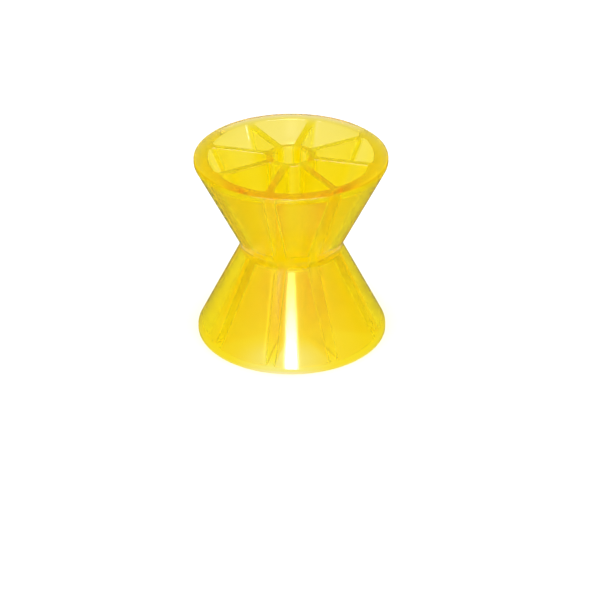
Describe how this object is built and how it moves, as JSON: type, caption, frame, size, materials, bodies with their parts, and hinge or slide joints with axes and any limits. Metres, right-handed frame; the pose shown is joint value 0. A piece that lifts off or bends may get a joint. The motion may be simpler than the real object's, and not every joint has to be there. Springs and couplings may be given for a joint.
{
  "type": "boat trailer roller",
  "caption": "Hourglass bow roller for a boat trailer: a ribbed, translucent amber moulding with a V groove for the keel and a plain bore for its axle.",
  "frame": {"origin": "on the bore's axis at mid-length, which is the centre of the box", "axes": "+Z along the bore; the roller stands on its lower end face"},
  "size_m": [0.075, 0.075, 0.0762],
  "materials": {
    "amber_polyurethane": "glossy, translucent amber-yellow polyurethane, as it leaves the mould"
  },
  "bodies": {
    "root": {"roller": "amber_polyurethane"}
  },
  "joints": []
}
